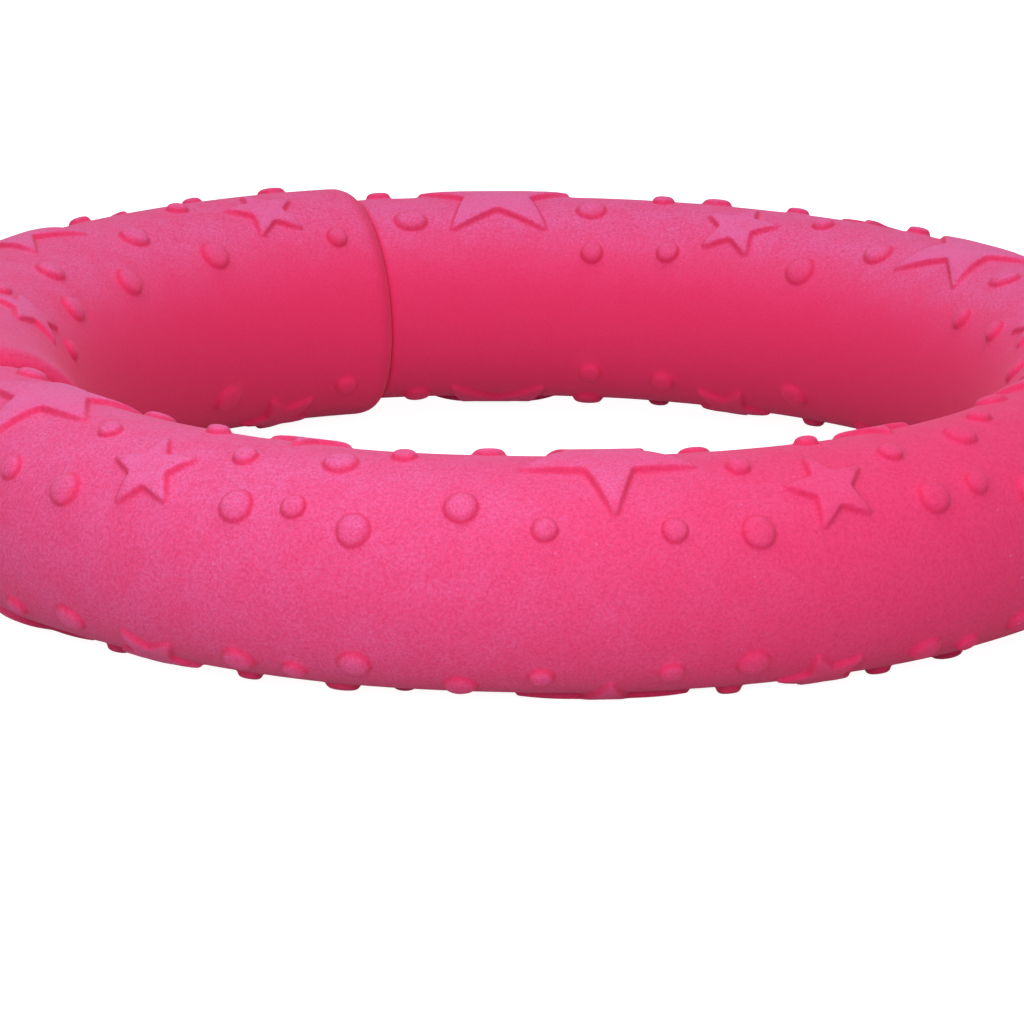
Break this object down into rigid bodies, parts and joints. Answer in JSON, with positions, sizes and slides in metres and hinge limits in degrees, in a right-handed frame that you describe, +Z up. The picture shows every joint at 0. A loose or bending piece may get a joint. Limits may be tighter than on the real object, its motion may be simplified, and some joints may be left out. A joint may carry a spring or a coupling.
{
  "type": "foam dog ring",
  "caption": "Solid foam ring toy for throwing, tugging and chewing, with raised stars and round domes on its upper side and underside.",
  "frame": {"origin": "centre of the ring's footprint, on the floor that it lies on", "axes": "+Z up, across the ring's thickness; +X to the right and +Y to the rear as the ring is seen in its picture"},
  "size_m": [0.189, 0.187, 0.0354],
  "materials": {
    "foam": "matt closed-cell EVA foam skin, pink all through, fine grain",
    "glue": "cured contact adhesive, satin"
  },
  "bodies": {
    "root": {"long_foam_segment": "foam", "short_foam_segment": "foam", "rear_glue_joint": "glue", "left_glue_joint": "glue"}
  },
  "joints": []
}
